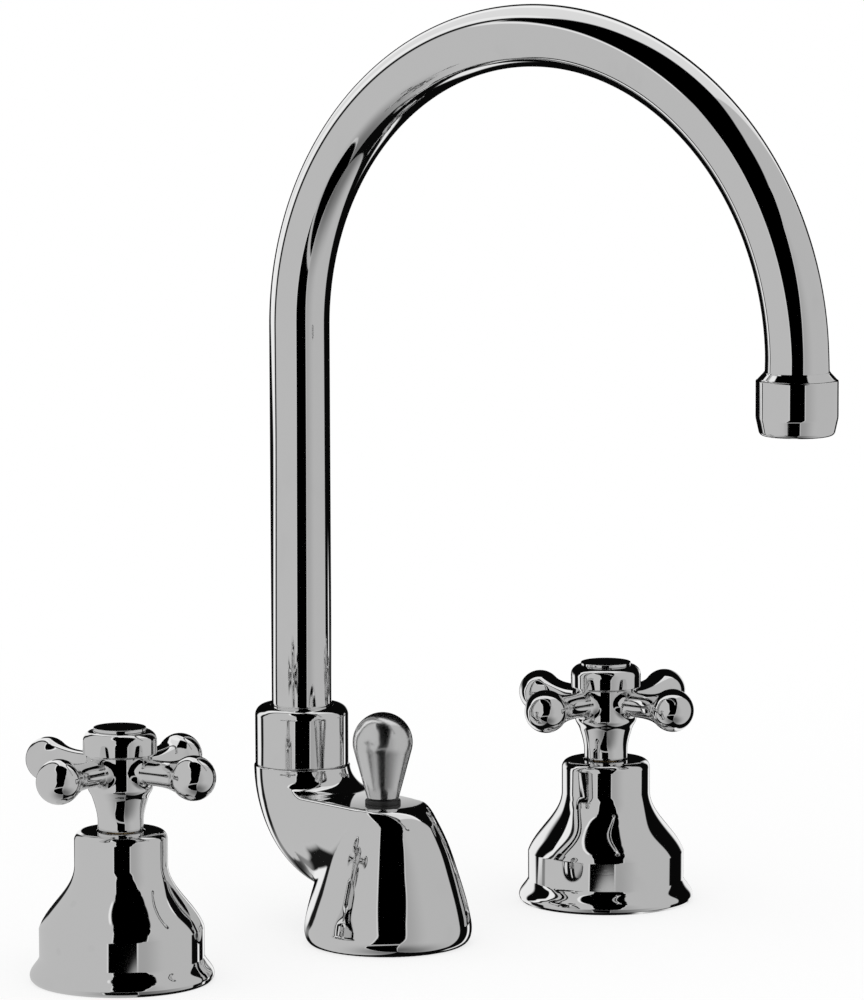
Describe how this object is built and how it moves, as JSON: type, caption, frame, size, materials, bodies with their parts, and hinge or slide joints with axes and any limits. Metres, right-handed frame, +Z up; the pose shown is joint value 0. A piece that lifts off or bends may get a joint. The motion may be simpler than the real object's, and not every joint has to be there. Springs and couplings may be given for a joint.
{
  "type": "three-hole basin mixer",
  "caption": "Three-hole basin mixer: tall swan-neck spout on a bent-neck foot, cross-handle hot and cold valves on bell skirts, and a pull-up waste knob.",
  "frame": {"origin": "centre of the spout's deck hole, at the deck's upper face", "axes": "+Z up; -Y towards the user; +X towards the cold valve, on the user's right"},
  "size_m": [0.2556, 0.2045, 0.3907],
  "materials": {
    "chrome": "polished chrome plate",
    "brass": "machined",
    "steel": "stainless, satin",
    "rubber": "matt black",
    "black_plastic": "satin black",
    "white_plastic": "satin white",
    "ceramic": "polished ceramic"
  },
  "bodies": {
    "fixed_set": {"spout_base": "chrome", "spout_collar": "chrome", "spout_bearing": "black_plastic", "spout_slip_washer": "white_plastic", "spout_shank": "brass", "spout_feed_tail": "brass", "spout_foot_seal": "rubber", "spout_rubber_washer": "rubber", "spout_steel_washer": "steel", "spout_back_nut": "brass", "lift_knob_guide": "black_plastic", "hot_skirt": "chrome", "hot_skirt_seal": "rubber", "hot_valve_body": "brass", "hot_deck_nut": "brass", "hot_rubber_washer": "rubber", "hot_steel_washer": "steel", "hot_back_nut": "brass", "hot_cartridge": "brass", "hot_cartridge_seal": "rubber", "hot_fixed_disc": "ceramic", "cold_skirt": "chrome", "cold_skirt_seal": "rubber", "cold_valve_body": "brass", "cold_deck_nut": "brass", "cold_rubber_washer": "rubber", "cold_steel_washer": "steel", "cold_back_nut": "brass", "cold_cartridge": "brass", "cold_cartridge_seal": "rubber", "cold_fixed_disc": "ceramic"},
    "spout": {"spout_tube": "chrome", "spout_nipple": "brass", "spout_orings": "rubber", "aerator_ferrule": "chrome", "aerator_housing": "chrome", "aerator_insert": "white_plastic", "aerator_seal": "rubber"},
    "hot_handle": {"hot_moving_disc": "ceramic", "hot_spindle": "brass", "hot_cross_handle": "chrome", "hot_handle_screw": "steel", "hot_index_button": "chrome"},
    "cold_handle": {"cold_moving_disc": "ceramic", "cold_spindle": "brass", "cold_cross_handle": "chrome", "cold_handle_screw": "steel", "cold_index_button": "chrome"},
    "lift": {"lift_knob": "chrome", "lift_rod": "steel"}
  },
  "joints": [
    {"name": "spout_swivel", "type": "hinge", "parent": "fixed_set", "child": "spout", "pos_m": [0, 0.0418, 0.0495], "axis": [0, 0, 1], "continuous": true},
    {"name": "hot_handle_turn", "type": "hinge", "parent": "fixed_set", "child": "hot_handle", "pos_m": [-0.094, 0.008, 0.045], "axis": [0, 0, 1], "range_deg": [0, 90]},
    {"name": "cold_handle_turn", "type": "hinge", "parent": "fixed_set", "child": "cold_handle", "pos_m": [0.094, 0.008, 0.045], "axis": [0, 0, -1], "range_deg": [0, 90]},
    {"name": "popup_lift", "type": "slide", "parent": "fixed_set", "child": "lift", "axis": [0, 0, 1], "range_m": [0, 0.02]}
  ]
}
